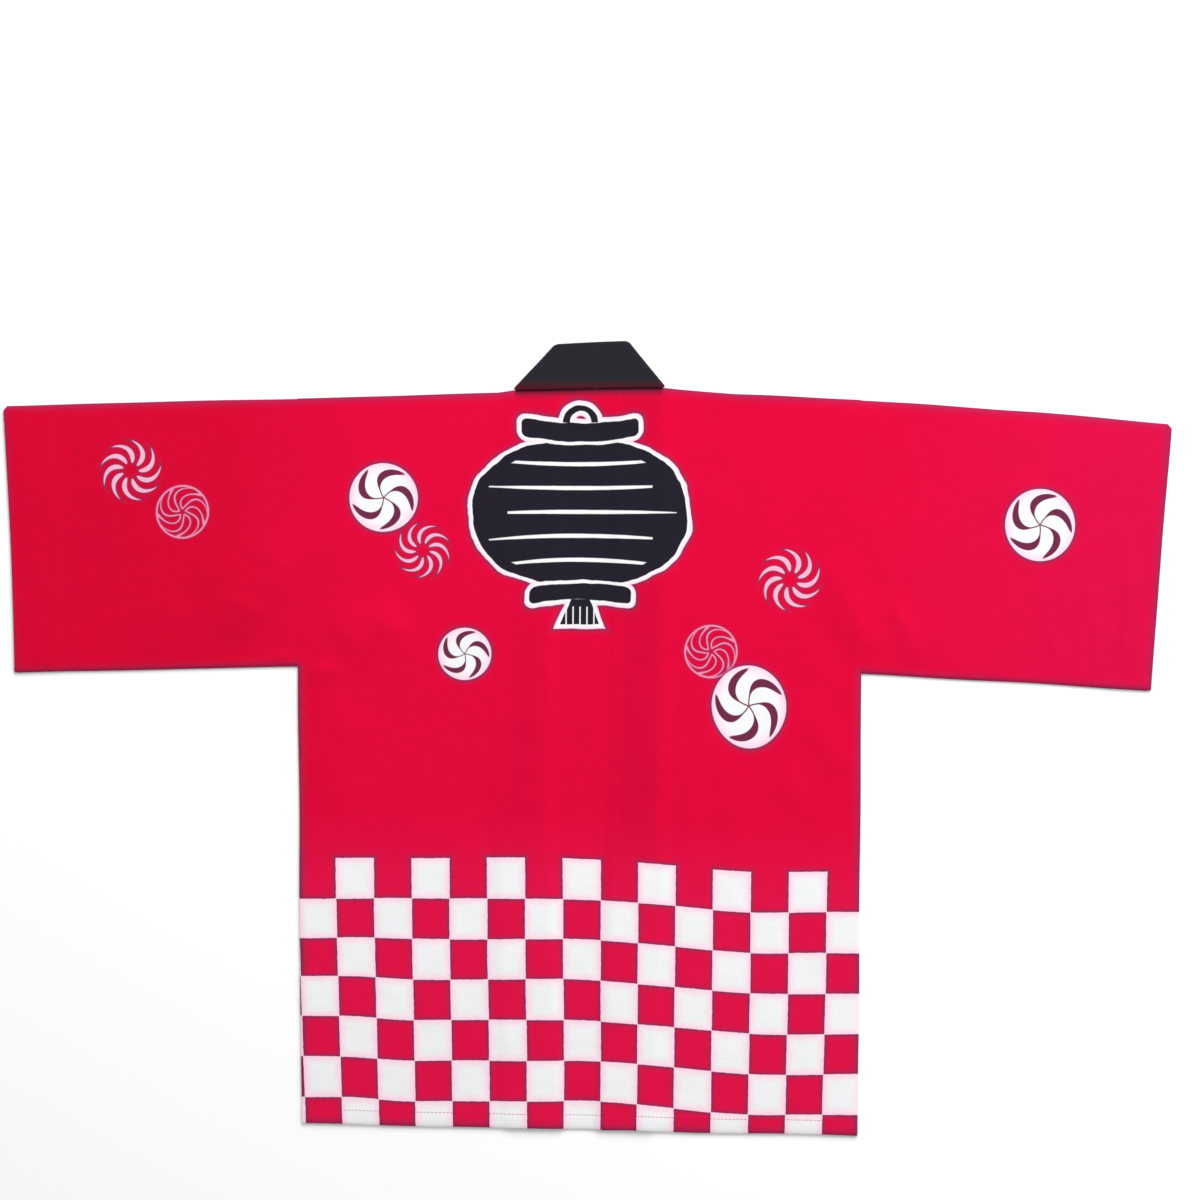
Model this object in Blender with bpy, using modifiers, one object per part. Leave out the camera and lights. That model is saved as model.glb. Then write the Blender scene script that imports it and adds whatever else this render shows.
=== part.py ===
"""Happi coat, laid flat on its front so that its back is up.

The maker cuts six pieces: the back, two fronts, two sleeves and one collar. The collar
runs up one front edge, round the neck and down the other. The fronts and the collar's
two bands lie on the ground, the back lies over them, and each sleeve is a flattened
tube. Where the collar turns from the back of the neck to a front edge, it is folded
over along a slanting line.

The coat's own plan has x across the body from its middle, towards the wearer's right
sleeve, and y up the body from the back neckline. Lengths are in metres and z is up from
the ground. At the end everything hangs on one empty, which puts the middle of the
coat's underside on the world's origin.
"""

import math
from collections import namedtuple

import bmesh
import bpy
from mathutils import Vector

# Cloth: a wall that stands for the cotton, and the air between the layers.
CLOTH = 0.0012
AIR = 0.0006
SEAM = 0.0003
COLLAR_WALL = 0.0030
COLLAR_AIR = 0.0004
TWO_LAYERS = 2 * CLOTH + AIR

# The coat as it is cut.
BODY_WIDTH = 0.621
HEM_WIDTH = 0.612
BODY_LENGTH = 0.814
NECK_WIDTH = 0.168
SLEEVE_HEIGHT = 0.2955
COLLAR_WIDTH = 0.051
HEM_OPENING = 0.153  # from one collar seam to the other, at the hem

# How the neck lies: a little to the right of the body's middle and up at its right end.
NECK_SHIFT = 0.011
NECK_RISE = 0.003
COLLAR_TURN = math.radians(50)  # the slanting fold, from the neckline
COLLAR_BOW = {-1: 0.012, 1: 0.006}  # how far each front edge curves outwards halfway down
HEM_DROOP = 0.014  # how much lower the hem's right end lies than its left one

# How each sleeve lies. armpit is how far it is below the neckline, and droop and lean are
# how many degrees its lower edge falls outwards and its cuff leans outwards.
Sleeve = namedtuple("Sleeve", "side armpit length droop lean")
SLEEVES = {
    "left": Sleeve(side=-1, armpit=0.3038, length=0.3145, droop=1.4, lean=2.3),
    "right": Sleeve(side=1, armpit=0.3118, length=0.3200, droop=3.45, lean=4.3),
}

# The upper layer's largest folds: soft ridges that run up from the armpits.
Fold = namedtuple("Fold", "x_foot y_foot x_head y_head width height")
FOLDS = (
    Fold(x_foot=-0.388, y_foot=-0.266, x_head=-0.314, y_head=-0.159, width=0.045, height=0.0045),
    Fold(x_foot=-0.264, y_foot=-0.275, x_head=-0.198, y_head=-0.258, width=0.046, height=0.0035),
    Fold(x_foot=0.324, y_foot=-0.296, x_head=0.284, y_head=-0.176, width=0.046, height=0.0050),
    Fold(x_foot=0.372, y_foot=-0.304, x_head=0.340, y_head=-0.222, width=0.044, height=0.0030),
    Fold(x_foot=0.296, y_foot=-0.430, x_head=0.236, y_head=-0.336, width=0.048, height=0.0035),
)
FLAT_RIM = 0.020  # the folds die out this near the coat's outline

# What the back lies on, by the distance inwards from a collar seam.
BAND_SLOPE = 0.012
GROUND_AIR = 0.0010
ON_FRONT = CLOTH + AIR
ON_COLLAR = COLLAR_WALL + COLLAR_AIR
LEVELS = (
    (-BAND_SLOPE, ON_FRONT),
    (-0.001, ON_COLLAR),
    (COLLAR_WIDTH + 0.001, ON_COLLAR),
    (COLLAR_WIDTH + BAND_SLOPE, GROUND_AIR),
)
NECK_LIFT = 0.055  # the back rises to the collar's level this near the neckline

# How finely each piece is divided.
BACK_SIDE_CELLS = 11
BACK_ROWS = 32
FRONT_CELLS = (3, 16)
SLEEVE_SECTIONS = 14
SLEEVE_UPPER_CELLS = 14
SLEEVE_LOWER_CELLS = 5
SLEEVE_EDGE_CELLS = 4
COLLAR_CELLS = 3
COLLAR_BAND_ROWS = 15
COLLAR_NECK_ROWS = 6
COLLAR_TURN_ROWS = 6
COLLAR_SPREAD = 0.060  # the length below the neck over which a band fans out


def mix(a, b, share):
    """The value or point that lies share of the way from a to b."""
    return a + (b - a) * share


def ease(t):
    """0 below 0, 1 above 1, and a smooth step between."""
    t = min(1.0, max(0.0, t))
    return t * t * (3 - 2 * t)


def table_value(x, rows):
    """Straight-line reading of a table of (x, value) rows."""
    if x <= rows[0][0]:
        return rows[0][1]
    for (x0, v0), (x1, v1) in zip(rows, rows[1:]):
        if x <= x1:
            return mix(v0, v1, (x - x0) / (x1 - x0))
    return rows[-1][1]


# ---- The coat's plan ---------------------------------------------------------------


def armpit(sleeve):
    return Vector((sleeve.side * BODY_WIDTH / 2, -sleeve.armpit))


def cuff_foot(sleeve):
    droop = math.radians(sleeve.droop)
    along = Vector((sleeve.side * math.cos(droop), -math.sin(droop)))
    return armpit(sleeve) + along * sleeve.length


def cuff_top(sleeve):
    lean = math.radians(sleeve.lean)
    up = Vector((sleeve.side * math.sin(lean), math.cos(lean)))
    return cuff_foot(sleeve) + up * SLEEVE_HEIGHT


def neck_corner(side):
    return Vector((NECK_SHIFT + side * NECK_WIDTH / 2, NECK_RISE * (1 + side) / 2))


def hem_edge(x):
    """y of the hem."""
    return -BODY_LENGTH - HEM_DROOP * x / HEM_WIDTH


def hem_corner(side):
    x = side * HEM_WIDTH / 2
    return Vector((x, hem_edge(x)))


def top_edge(x):
    """y of the back's upper edge: the neckline, and the straight shoulders beside it."""
    left, right = neck_corner(-1), neck_corner(1)
    if x < left.x:
        start, end = left, cuff_top(SLEEVES["left"])
    elif x > right.x:
        start, end = right, cuff_top(SLEEVES["right"])
    else:
        start, end = left, right
    return mix(start.y, end.y, (x - start.x) / (end.x - start.x))


def body_side(side, y):
    """x of the body's side edge, which draws in a little from the armpit to the hem."""
    drop = max(0.0, -y - sleeve_at(side).armpit)
    share = drop / (BODY_LENGTH - sleeve_at(side).armpit)
    return side * mix(BODY_WIDTH, HEM_WIDTH, share) / 2


def sleeve_at(side):
    return SLEEVES["left"] if side < 0 else SLEEVES["right"]


def collar_seam(side, y):
    """x of the seam between a front and the collar."""
    down = -y / BODY_LENGTH
    straight = mix(neck_corner(side).x, side * HEM_OPENING / 2, down)
    return straight + side * COLLAR_BOW[side] * 4 * down * (1 - down)


def outline():
    """The corners of the laid coat without its collar, anticlockwise from the left hem."""
    left, right = SLEEVES["left"], SLEEVES["right"]
    corners = [hem_corner(1), armpit(right), cuff_foot(right), cuff_top(right)]
    corners += [neck_corner(1), neck_corner(-1)]
    corners += [cuff_top(left), cuff_foot(left), armpit(left), hem_corner(-1)]
    return corners


def edge_distance(x, y):
    """How far a point of the plan is from the coat's outline."""
    point, corners = Vector((x, y)), outline()
    nearest = BODY_WIDTH
    for start, end in zip(corners, corners[1:]):
        run = end - start
        share = (point - start).dot(run) / run.length_squared
        foot = start + run * min(1.0, max(0.0, share))
        nearest = min(nearest, (point - foot).length)
    return nearest


# ---- Heights of the upper layer ----------------------------------------------------


def fold_height(x, y):
    """How high the folds lift the upper layer."""
    height = 0.0
    for fold in FOLDS:
        foot, head = Vector((fold.x_foot, fold.y_foot)), Vector((fold.x_head, fold.y_head))
        run = head - foot
        away = Vector((x, y)) - foot
        along = away.dot(run) / run.length_squared
        across = abs(away.cross(run)) / run.length
        ridge = math.cos(math.pi * min(0.5, across / fold.width)) ** 2
        ends = ease((along + 0.25) / 0.5) * ease((1.25 - along) / 0.5)
        height += fold.height * ridge * ends
    return height * ease(edge_distance(x, y) / FLAT_RIM)


def back_underside(x, y):
    """z of the back's lower face: over a front, a collar band or the gap between them."""
    middle = (collar_seam(-1, y) + collar_seam(1, y)) / 2
    side = -1 if x < middle else 1
    inwards = side * (collar_seam(side, y) - x)
    level = table_value(inwards, LEVELS)
    if inwards < 0:  # sewn down to the front along the shoulder and the side
        level -= (AIR - SEAM) * (1 - ease(edge_distance(x, y) / BAND_SLOPE))
    near_neck = ease(1 - (top_edge(x) - y) / NECK_LIFT) * ease(1 + inwards / BAND_SLOPE)
    return mix(level, ON_COLLAR, near_neck) + fold_height(x, y)


# ---- Making meshes -----------------------------------------------------------------


def add_object(name, mesh, material):
    """Puts a mesh in the coat's collection under a name, with its material."""
    mesh.name = name
    mesh.materials.append(material)
    mesh.shade_smooth()
    mesh.set_sharp_from_angle(angle=math.radians(40))
    made = bpy.data.objects.new(name, mesh)
    bpy.data.collections["happi_coat"].objects.link(made)
    return made


def laid_grid(columns, rows, place):
    """A grid mesh with each corner put where place(column, row) says."""
    grid = bmesh.new()
    bmesh.ops.create_grid(grid, x_segments=columns, y_segments=rows, size=1)
    for corner in grid.verts:
        column = round((corner.co.x + 1) / 2 * columns)
        row = round((corner.co.y + 1) / 2 * rows)
        corner.co = place(column, row)
    return grid


def as_mesh(grid):
    bmesh.ops.recalc_face_normals(grid, faces=grid.faces)
    mesh = bpy.data.meshes.new("piece")
    grid.to_mesh(mesh)
    grid.free()
    return mesh


def panel(columns, rows, place, wall):
    """A laid grid made into a wall of that height, with upright edges."""
    grid = laid_grid(columns, rows, place)
    made = bmesh.ops.extrude_face_region(grid, geom=grid.faces[:], use_keep_orig=True)
    raised = [part for part in made["geom"] if isinstance(part, bmesh.types.BMVert)]
    bmesh.ops.translate(grid, verts=raised, vec=(0, 0, wall))
    return as_mesh(grid)


def closed_loft(rings):
    """A skin over closed rings of equal counts, from each to the next and round again."""
    skin = bmesh.new()
    corners = [[skin.verts.new(point) for point in ring] for ring in rings]
    for ring, after in zip(corners, corners[1:] + corners[:1]):
        for i in range(len(ring)):
            j = (i + 1) % len(ring)
            skin.faces.new((ring[i], ring[j], after[j], after[i]))
    return as_mesh(skin)


# ---- The pieces --------------------------------------------------------------------


def back_columns():
    """The back's columns from left to right, each a function of y that gives its x."""
    offsets = [LEVELS[0][0], LEVELS[1][0], LEVELS[2][0], LEVELS[3][0]]

    def between_side_and_band(side, share):
        return lambda y: mix(
            body_side(side, y), collar_seam(side, y) - side * offsets[0], share
        )

    def by_the_band(side, inwards):
        return lambda y: collar_seam(side, y) - side * inwards

    shares = [i / BACK_SIDE_CELLS for i in range(BACK_SIDE_CELLS)]
    half = {}
    for side in (-1, 1):
        half[side] = [between_side_and_band(side, share) for share in shares]
        half[side] += [by_the_band(side, inwards) for inwards in offsets]

    def centre(y):
        return (collar_seam(-1, y) + collar_seam(1, y)) / 2

    return half[-1] + [centre] + half[1][::-1]


def add_back(material):
    columns = back_columns()

    def place(column, row):
        top = top_edge(columns[column](0))
        foot = hem_edge(columns[column](-BODY_LENGTH))
        y = mix(top, foot, row / BACK_ROWS)
        x = columns[column](y)
        return (x, y, back_underside(x, y))

    mesh = panel(len(columns) - 1, BACK_ROWS, place, CLOTH)
    return add_object("back", mesh, material)


def add_front(name, side, material):
    across, down = FRONT_CELLS

    def place(column, row):
        share = column / across
        start = mix(collar_seam(side, 0), body_side(side, 0), share)
        end = mix(side * HEM_OPENING, side * HEM_WIDTH, share) / 2
        y = mix(top_edge(start), hem_edge(end), row / down)
        x = mix(collar_seam(side, y), body_side(side, y), share)
        return (x, y, 0)

    mesh = panel(across, down, place, CLOTH)
    return add_object(name, mesh, material)


def sleeve_ring(foot, head, wall):
    """A flattened ring round a sleeve, from its lower edge to its upper one, drawn in by wall."""
    height = (head - foot).length
    up = (head - foot) / height
    radius = TWO_LAYERS / 2
    inner = radius - wall
    points = []

    def edge(centre, direction):
        for i in range(1, SLEEVE_EDGE_CELLS):
            turn = math.pi * i / SLEEVE_EDGE_CELLS
            reach = centre + direction * up * inner * math.sin(turn)
            points.append((reach.x, reach.y, radius - direction * inner * math.cos(turn)))

    low, high = foot + up * radius, head - up * radius
    for i in range(SLEEVE_LOWER_CELLS + 1):
        spot = mix(low, high, i / SLEEVE_LOWER_CELLS)
        points.append((spot.x, spot.y, wall))
    edge(high, 1)
    for i in range(SLEEVE_UPPER_CELLS + 1):
        spot = mix(high, low, i / SLEEVE_UPPER_CELLS)
        rise = fold_height(spot.x, spot.y)
        points.append((spot.x, spot.y, TWO_LAYERS - wall + rise))
    edge(low, -1)
    return points


def add_sleeve(name, sleeve, material):
    """A tube with an open armhole and cuff: its outer skin goes out and its inner one back."""
    shoulder_x = sleeve.side * (BODY_WIDTH / 2 + SEAM)
    shoulder = Vector((shoulder_x, top_edge(shoulder_x)))
    underarm = Vector((shoulder_x, -sleeve.armpit))
    outer, inner = [], []
    for i in range(SLEEVE_SECTIONS + 1):
        share = i / SLEEVE_SECTIONS
        foot = mix(underarm, cuff_foot(sleeve), share)
        head = mix(shoulder, cuff_top(sleeve), share)
        outer.append(sleeve_ring(foot, head, 0))
        inner.append(sleeve_ring(foot, head, CLOTH))
    return add_object(name, closed_loft(outer + inner[::-1]), material)


def collar_half(side):
    """Rows of the collar's middle surface from a front hem to past the slanting fold.

    Each row is (the point on its seam edge, the point on its free edge).
    """
    half_wall = COLLAR_WALL / 2
    low = half_wall
    high = ON_COLLAR + half_wall
    bend = (high - low) / 2
    turn_foot = neck_corner(side).to_3d() + Vector((-side * SEAM, SEAM, low))
    run = COLLAR_WIDTH / math.tan(COLLAR_TURN)
    turn_head = turn_foot + Vector((-side * run, COLLAR_WIDTH, 0))

    rows = []
    for i in range(COLLAR_BAND_ROWS + 1):
        y = mix(hem_edge(side * HEM_OPENING / 2), -COLLAR_SPREAD, i / COLLAR_BAND_ROWS)
        seam_edge = Vector((collar_seam(side, y) - side * SEAM, y, low))
        rows.append((seam_edge, seam_edge - Vector((side * COLLAR_WIDTH, 0, 0))))
    last_seam, last_free = rows[-1]
    for i in range(1, COLLAR_NECK_ROWS):
        share = i / COLLAR_NECK_ROWS
        rows.append((mix(last_seam, turn_foot, share), mix(last_free, turn_head, share)))
    for i in range(COLLAR_TURN_ROWS + 1):
        turn = math.pi * i / COLLAR_TURN_ROWS
        bulge = side * bend * math.sin(turn) / math.sin(COLLAR_TURN)
        step = Vector((bulge, 0, bend * (1 - math.cos(turn))))
        trim = Vector((0, half_wall * math.sin(turn) * math.cos(COLLAR_TURN), 0))
        rows.append((turn_foot + step + trim, turn_head + step - trim))
    return rows


def add_collar(material):
    left, right = collar_half(-1), collar_half(1)
    rows = list(left)
    for i in range(1, COLLAR_NECK_ROWS):
        share = i / COLLAR_NECK_ROWS
        rows.append(tuple(mix(a, b, share) for a, b in zip(left[-1], right[-1])))
    rows += right[::-1]

    def place(column, row):
        return mix(*rows[row], column / COLLAR_CELLS)

    mesh = as_mesh(laid_grid(COLLAR_CELLS, len(rows) - 1, place))
    collar = add_object("collar", mesh, material)
    wall = collar.modifiers.new("folded_double", "SOLIDIFY")
    wall.thickness = COLLAR_WALL
    wall.offset = 0
    wall.use_even_offset = True
    return collar


# ---- Materials and assembly --------------------------------------------------------


def cloth_material(name, colour, roughness):
    material = bpy.data.materials.new(name)
    material.use_nodes = True
    shader = material.node_tree.nodes["Principled BSDF"]
    shader.inputs["Base Color"].default_value = (*colour, 1)
    shader.inputs["Roughness"].default_value = roughness
    shader.inputs["Metallic"].default_value = 0
    return material


def clear_scene():
    for old in list(bpy.data.objects):
        bpy.data.objects.remove(old)
    collection = bpy.data.collections.new("happi_coat")
    bpy.context.scene.collection.children.link(collection)


def stand_on_origin(pieces):
    """Hangs the pieces on an empty that puts the middle of their underside at the origin."""
    bpy.context.view_layer.update()
    graph = bpy.context.evaluated_depsgraph_get()
    corners = [Vector(c) for piece in pieces for c in piece.evaluated_get(graph).bound_box]
    low = Vector(min(c[axis] for c in corners) for axis in range(3))
    high = Vector(max(c[axis] for c in corners) for axis in range(3))
    hanger = bpy.data.objects.new("coat", None)
    bpy.data.collections["happi_coat"].objects.link(hanger)
    for piece in pieces:
        piece.parent = hanger
    hanger.location = (-(low.x + high.x) / 2, -(low.y + high.y) / 2, -low.z)


def main():
    clear_scene()
    red = cloth_material("printed_cotton", (0.78, 0.002, 0.042), 0.9)
    black = cloth_material("collar_cotton", (0.022, 0.024, 0.03), 0.85)
    pieces = [
        add_back(red),
        add_front("front_left", -1, red),
        add_front("front_right", 1, red),
        add_sleeve("sleeve_left", SLEEVES["left"], red),
        add_sleeve("sleeve_right", SLEEVES["right"], red),
        add_collar(black),
    ]
    stand_on_origin(pieces)


main()
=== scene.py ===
"""Happi coat, laid flat on its front so that its printed back is up.

The coat's own plan has x across the body from its middle, towards the wearer's right
sleeve, and y up the body from the back neckline, in metres. z is up from the ground.
Each vertex also keeps the place it had on the cut cloth, in the same metres, and the
print is drawn from that.
"""

import math
from collections import namedtuple

import bpy
import numpy as np
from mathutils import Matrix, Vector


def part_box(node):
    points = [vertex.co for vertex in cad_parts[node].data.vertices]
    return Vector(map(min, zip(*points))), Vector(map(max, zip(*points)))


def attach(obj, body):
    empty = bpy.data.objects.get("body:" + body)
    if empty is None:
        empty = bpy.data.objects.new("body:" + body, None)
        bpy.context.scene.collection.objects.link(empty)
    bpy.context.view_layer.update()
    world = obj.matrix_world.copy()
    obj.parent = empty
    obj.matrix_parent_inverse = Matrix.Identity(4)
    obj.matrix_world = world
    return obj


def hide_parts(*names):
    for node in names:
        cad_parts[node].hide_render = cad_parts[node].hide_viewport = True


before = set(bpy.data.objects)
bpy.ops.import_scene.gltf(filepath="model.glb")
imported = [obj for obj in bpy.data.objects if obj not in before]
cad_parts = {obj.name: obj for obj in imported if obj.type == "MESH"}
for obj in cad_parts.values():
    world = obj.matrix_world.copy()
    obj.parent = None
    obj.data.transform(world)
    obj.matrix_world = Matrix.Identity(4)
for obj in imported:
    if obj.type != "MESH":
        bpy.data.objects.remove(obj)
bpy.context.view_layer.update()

# ---- Sizes ----------------------------------------------------------------------------------

back_low, back_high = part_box("back")
BODY_WIDTH = back_high.x - back_low.x
MIDDLE = (back_low.x + back_high.x) / 2
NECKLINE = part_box("front_left")[1].y

HEM_WIDTH = 0.612
BODY_LENGTH = 0.814
HEM_DROOP = 0.014
LEFT, RIGHT = -1, 1  # the wearer's left is at a negative x
SIDES = {LEFT: "left", RIGHT: "right"}
NECK = {LEFT: (-0.073, 0.0), RIGHT: (0.095, 0.003)}  # the neckline's corners
HEM_OPENING = 0.153
FRONT_WIDTH = 0.234
COLLAR_WIDTH = 0.051
COLLAR_BOW = {LEFT: 0.012, RIGHT: 0.006}  # how far each band bows outwards on its way down
COLLAR_TURN = {LEFT: math.radians(48), RIGHT: math.radians(51)}  # of the slanting folds
COLLAR_SPREAD = 0.060  # how far below the neckline the bands start to turn over
SLEEVE_HEIGHT = 0.2955
# How each sleeve lies. armpit is how far it is below the neckline, and droop and lean are how
# many degrees its lower edge falls outwards and its cuff leans outwards.
Sleeve = namedtuple("Sleeve", "armpit length droop lean")
SLEEVES = {
    LEFT: Sleeve(armpit=0.3038, length=0.3145, droop=1.4, lean=2.3),
    RIGHT: Sleeve(armpit=0.3118, length=0.3200, droop=3.45, lean=4.3),
}

CLOTH = 0.0009  # one layer
SOLID_WALL = 0.0012  # one layer in the frame
AIR = 0.0006
GROUND_AIR = 0.0010
COLLAR_WALL = 0.0030
ON_FRONT = SOLID_WALL + AIR
ON_COLLAR = COLLAR_WALL + 0.0004
BAND_SLOPE = 0.013
NECK_LIFT = 0.055
EDGE_SOFT = 0.009  # how far in from the outline the upper layer comes down
EDGE_DROP = 0.0008
CUFF_HEM = 0.056  # turned in at each cuff
CUFF_CORNER = 0.0045  # the radius of the cuff's corner at the shoulder's fold
CUFF_FOOT_CORNER = 0.2  # the share of it that the lower corner has
BODY_HEM = 0.018  # turned in at the foot of the back and the fronts
LIFT = 0.0002  # the cloth's underside over the ground, which the stitches just reach
DEEPEST = 0.0009  # how far a trough can sink before it meets the layer below
LONG_LIE, SHORT_LIE = 0.00045, 0.00022  # heights of the cloth's slow and quick unevenness
CRUMPLE = 0.00007
HELD_FLAT = 0.016  # how far in from the outline the cloth can't rise freely
HEM_RISE, HEM_STEP = 0.00045, 0.003  # how high a turned-in hem lifts the cloth, and how soon
EDGE_SHADE_WIDTH = 0.0125  # how far in from the outline painted shade darkens the cloth where it turns down
FAR_IN = 0.03  # far enough in for the edge to have no effect
GUARD = 0.0004  # the last column of a mesh before its rounded edge

CELL = 0.0042  # the upper layer's mesh
LOWER_CELL = 0.009  # the lower layer's mesh

# ---- Colours, as a dyer would read them off a chart, in 0 to 255 ----------------------------


def dye(red, green, blue):
    """A chart colour as the linear values that the shaders take."""
    def linear(share):
        return share / 12.92 if share <= 0.04045 else ((share + 0.055) / 1.055) ** 2.4
    return tuple(linear(value / 255) for value in (red, green, blue)) + (1,)


RED = dye(221, 4, 57)
# painted shade: the left sleeve's red, darker for the lesser light that falls there
RED_LEFT_PAINTED_SHADE = dye(211, 4, 50)
RED_CUFF = dye(214, 12, 68)
PRINT_RIM_AND_EDGE_SHADE = dye(112, 44, 88)  # where the dye gathers round printed edges, and painted shade along the outline's folds
SHOW_THROUGH = dye(150, 4, 44)
WHITE = dye(238, 239, 240)
WHITE_EDGE = dye(255, 204, 225)  # where the red has bled a little into the white
PETAL_PINK = dye(240, 176, 202)
LINE_PINK = dye(242, 136, 170)
SLIT = dye(108, 42, 72)
COLLAR_FOOT_RED = dye(88, 18, 34)  # dark red at the foot of the collar behind the neck, fading up into the black
NECK_SHADE = dye(58, 12, 26)
CHECK_RED = dye(219, 16, 68)
INK = dye(34, 31, 42)
BLACK = dye(35, 37, 42)
BLACK_RUBBED = dye(56, 57, 62)
RED_THREAD = dye(196, 8, 52)
BLACK_THREAD = dye(30, 31, 35)
WRONG_SIDE = dye(228, 112, 134)
FLOOR_WHITE = dye(254, 254, 254)


# ---- Small helpers --------------------------------------------------------------------------


def mix(a, b, share):
    return a + (b - a) * share


def ease(t):
    """0 below 0, 1 above 1, and a smooth step between."""
    t = np.clip(t, 0, 1)
    return t * t * (3 - 2 * t)


def waves(x, y, length, seed, count=7):
    """Gentle unevenness between about -1 and 1, of that wavelength, the same each run."""
    draw = np.random.default_rng(seed)
    total = 0
    for turn, phase, stretch in draw.random((count, 3)):
        turn, phase = turn * math.tau, phase * math.tau
        reach = length * (0.7 + 0.9 * stretch) / math.tau
        total = total + np.sin((x * math.cos(turn) + y * math.sin(turn)) / reach + phase)
    return total / math.sqrt(count) / 1.5


# ---- The coat's plan ------------------------------------------------------------------------


def armpit(side):
    return np.array([side * BODY_WIDTH / 2, -SLEEVES[side].armpit])


def cuff_foot(side):
    sleeve = SLEEVES[side]
    droop = math.radians(sleeve.droop)
    return armpit(side) + sleeve.length * np.array([side * math.cos(droop), -math.sin(droop)])


def cuff_top(side):
    lean = math.radians(SLEEVES[side].lean)
    return cuff_foot(side) + SLEEVE_HEIGHT * np.array([side * math.sin(lean), math.cos(lean)])


Outline = namedtuple("Outline", "x y")
SHOULDERS = (
    Outline(*cuff_top(LEFT)),
    Outline(x=-0.198, y=-0.0056),
    Outline(x=-0.090, y=-0.0024),
    Outline(*NECK[LEFT]),
    Outline(*NECK[RIGHT]),
    Outline(x=0.172, y=-0.0041),
    Outline(x=0.304, y=-0.0094),
    Outline(x=0.503, y=-0.0231),
    Outline(*cuff_top(RIGHT)),
)


def top_edge(x):
    """y of the shoulders' fold and, between the neck's corners, of the neckline."""
    return np.interp(x, [p.x for p in SHOULDERS], [p.y for p in SHOULDERS])


def hem_edge(x):
    return -BODY_LENGTH - HEM_DROOP * x / HEM_WIDTH


def body_side(side, y):
    start = SLEEVES[side].armpit
    share = np.maximum(0, -y - start) / (BODY_LENGTH - start)
    return side * mix(BODY_WIDTH, HEM_WIDTH, share) / 2


def collar_seam(side, y):
    """x of the seam between a front and the collar."""
    down = -y / BODY_LENGTH
    straight = mix(NECK[side][0], side * HEM_OPENING / 2, down)
    return straight + side * COLLAR_BOW[side] * 4 * down * (1 - down)


def outline():
    """The corners of the laid coat without its collar, anticlockwise from the hem's right."""
    hem = [np.array([side * HEM_WIDTH / 2, hem_edge(side * HEM_WIDTH / 2)]) for side in SIDES]
    top = [np.array(p) for p in SHOULDERS[1:-1]]
    corners = [hem[1], armpit(RIGHT), cuff_foot(RIGHT), cuff_top(RIGHT), *top[::-1]]
    return corners + [cuff_top(LEFT), cuff_foot(LEFT), armpit(LEFT), hem[0], hem[1]]


def edge_distance(x, y):
    """How far points of the plan are from the coat's outline."""
    corners = outline()
    nearest = np.full(np.shape(x), BODY_WIDTH)
    for start, end in zip(corners, corners[1:]):
        run = end - start
        away_x, away_y = x - start[0], y - start[1]
        share = np.clip((away_x * run[0] + away_y * run[1]) / (run @ run), 0, 1)
        gap = np.hypot(away_x - share * run[0], away_y - share * run[1])
        nearest = np.minimum(nearest, gap)
    return nearest


# ---- Heights of the upper layer -------------------------------------------------------------

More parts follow.
